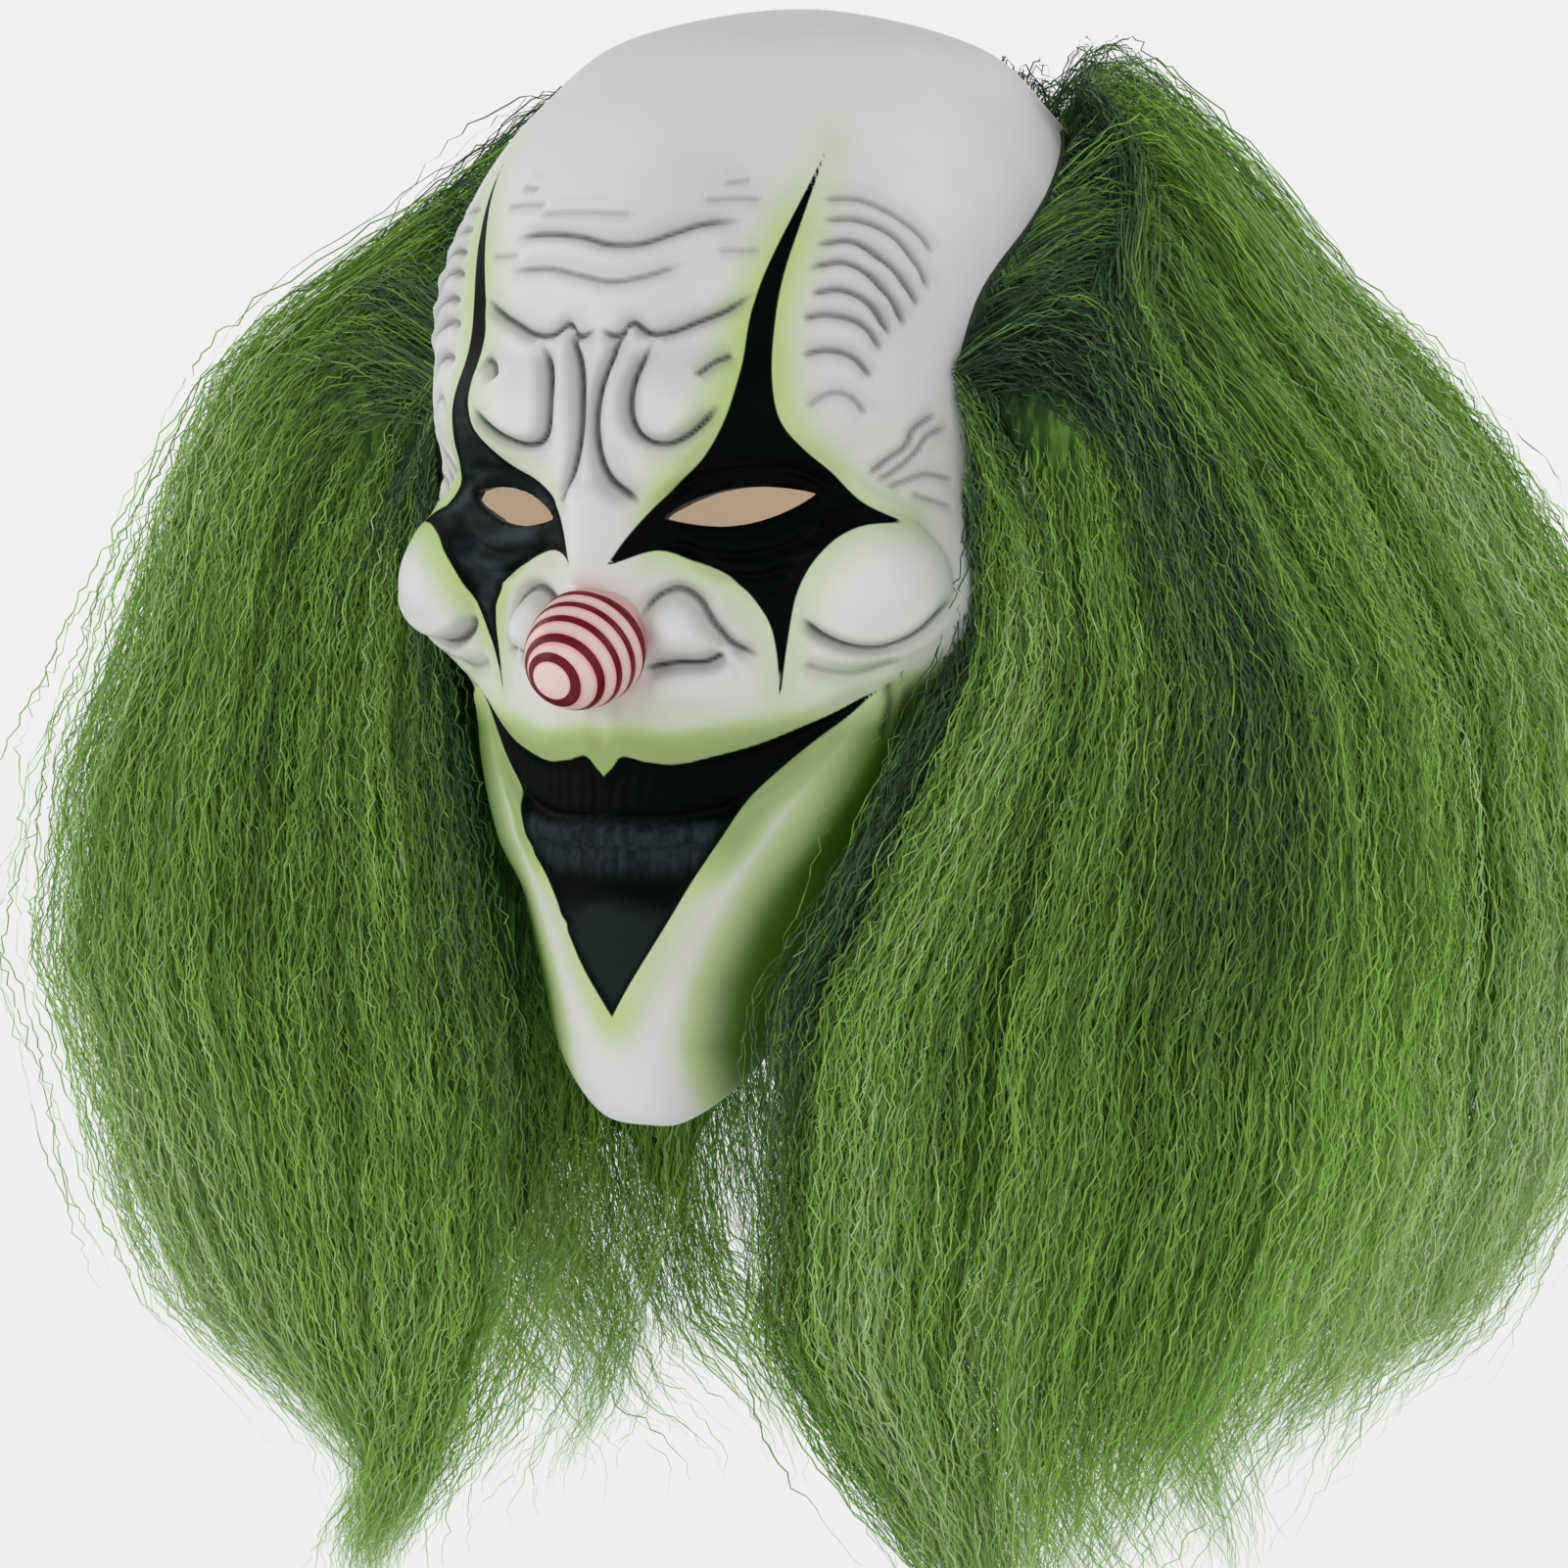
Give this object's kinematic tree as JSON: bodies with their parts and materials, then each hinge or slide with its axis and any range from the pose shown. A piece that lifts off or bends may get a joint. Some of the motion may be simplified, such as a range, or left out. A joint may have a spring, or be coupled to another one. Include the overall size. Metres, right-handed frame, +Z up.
{
  "type": "latex clown mask",
  "caption": "Pull-over cast-latex clown head with almond eye holes, an open neck, a bonded cone nose and long crimped hair on sewn weft bands.",
  "frame": {"origin": "inside the head cavity, on the head's vertical axis at eye level, where a wearer's head holds the mask", "axes": "+Z up along the wearer's head, the face looks toward -Y, the wearer's left is +X"},
  "size_m": [0.444, 0.2821, 0.384],
  "materials": {
    "latex": "satin painted latex",
    "nose": "satin painted latex",
    "weft_band": "woven tape",
    "hair": "crimped synthetic fibre"
  },
  "bodies": {
    "mask": {"latex_shell": "latex", "nose_cone": "nose", "band_left_upper": "weft_band", "band_left_middle": "weft_band", "band_left_lower": "weft_band", "band_right_upper": "weft_band", "band_right_middle": "weft_band", "band_right_lower": "weft_band", "band_back_upper": "weft_band", "band_back_middle": "weft_band", "band_back_lower": "weft_band"},
    "left_hair": {"hair_left_upper": "hair", "hair_left_middle": "hair", "hair_left_lower": "hair"},
    "right_hair": {"hair_right_upper": "hair", "hair_right_middle": "hair", "hair_right_lower": "hair"},
    "back_hair": {"hair_back_upper": "hair", "hair_back_middle": "hair", "hair_back_lower": "hair"}
  },
  "joints": [
    {"name": "left_hair_lift", "type": "hinge", "parent": "mask", "child": "left_hair", "pos_m": [0.058, 0, 0.118], "axis": [0, -1, 0], "range_deg": [0, 30]},
    {"name": "right_hair_lift", "type": "hinge", "parent": "mask", "child": "right_hair", "pos_m": [-0.058, 0, 0.118], "axis": [0, 1, 0], "range_deg": [0, 30]},
    {"name": "back_hair_lift", "type": "hinge", "parent": "mask", "child": "back_hair", "pos_m": [0, 0.048, 0.118], "axis": [1, 0, 0], "range_deg": [0, 30]}
  ]
}
